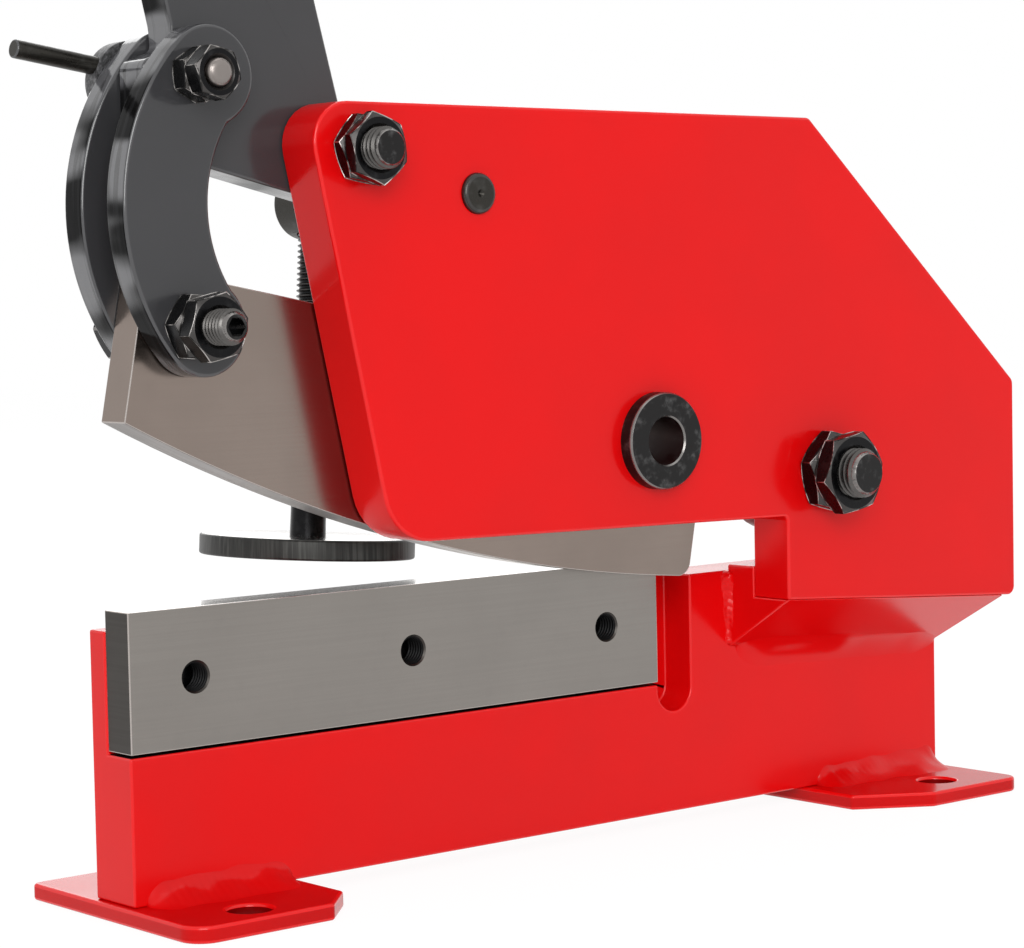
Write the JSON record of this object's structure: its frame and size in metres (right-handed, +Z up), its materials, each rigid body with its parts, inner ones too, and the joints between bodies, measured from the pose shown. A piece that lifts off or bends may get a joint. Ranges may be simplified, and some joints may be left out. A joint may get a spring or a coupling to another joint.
{
  "type": "lever shear",
  "caption": "Bench-top hand lever shear with a toggle-linked curved moving blade, bar hole, hold-down screw and bolt-down feet.",
  "frame": {"origin": "centre of the four bolt holes in the feet, on the plane that the feet stand on", "axes": "+X along the blades from the operator's end to the rear, +Y across them from the side plate to the bed, +Z up"},
  "size_m": [0.4245, 0.1309, 0.6454],
  "materials": {
    "red_paint": "gloss",
    "grey_paint": "satin",
    "blade_steel": "ground",
    "black_steel": "black oxide",
    "dark_steel": "phosphated",
    "bright_steel": "bright",
    "cast_grey": "rough",
    "black_grip": "matt"
  },
  "bodies": {
    "base_frame": {"bed_plate": "red_paint", "front_foot": "red_paint", "rear_foot": "red_paint", "side_plate": "red_paint", "spacer_block": "red_paint", "frame_welds": "red_paint", "lower_blade": "blade_steel", "blade_screws": "black_steel", "bar_bush": "black_steel", "pivot_bolt": "black_steel", "pivot_nuts": "black_steel", "pivot_washer": "black_steel", "lever_bolt": "black_steel", "lever_bolt_nuts": "black_steel"},
    "moving_blade": {"upper_blade": "blade_steel"},
    "lever": {"lever_arm": "grey_paint", "handle_tube": "grey_paint", "handle_bolts": "black_steel", "handle_nuts": "black_steel", "hand_grip": "black_grip"},
    "links": {"near_link": "grey_paint", "far_link": "grey_paint", "upper_link_bolt": "bright_steel", "upper_link_nuts": "black_steel", "lower_link_bolt": "black_steel", "lower_link_nuts": "black_steel"},
    "clamp": {"clamp_collar": "cast_grey", "clamp_rod": "grey_paint"},
    "hold_down_arm": {"hold_down_bar": "grey_paint"},
    "hold_down": {"hold_down_screw": "dark_steel", "hold_down_foot": "dark_steel"}
  },
  "joints": [
    {"name": "lever_swing", "type": "hinge", "parent": "base_frame", "child": "lever", "pos_m": [-0.1027, -0.0136, 0.2155], "axis": [0, -1, 0], "range_deg": [0, 55]},
    {"name": "blade_swing", "type": "hinge", "parent": "base_frame", "child": "moving_blade", "pos_m": [0.0844, -0.0136, 0.1146], "axis": [0, -1, 0], "range_deg": [0, 11.85]},
    {"name": "link_turn", "type": "hinge", "parent": "lever", "child": "links", "pos_m": [-0.1539, -0.0136, 0.235], "axis": [0, -1, 0], "range_deg": [-61.75, 0]},
    {"name": "clamp_turn", "type": "hinge", "parent": "links", "child": "clamp", "pos_m": [-0.1539, 0.0048, 0.235], "axis": [0, -1, 0], "range_deg": [-30, 60]},
    {"name": "hold_down_tilt", "type": "hinge", "parent": "base_frame", "child": "hold_down_arm", "pos_m": [-0.0608, 0.043, 0.2036], "axis": [0, -1, 0], "range_deg": [-20, 20]},
    {"name": "hold_down_feed", "type": "slide", "parent": "hold_down_arm", "child": "hold_down", "axis": [0.0671, 0, 0.9977], "range_m": [-0.01, 0.04]}
  ],
  "couplings": [
    {"joint": "blade_swing", "follows": "lever_swing", "ratio": 0.2153},
    {"joint": "link_turn", "follows": "lever_swing", "ratio": -1.1227}
  ]
}
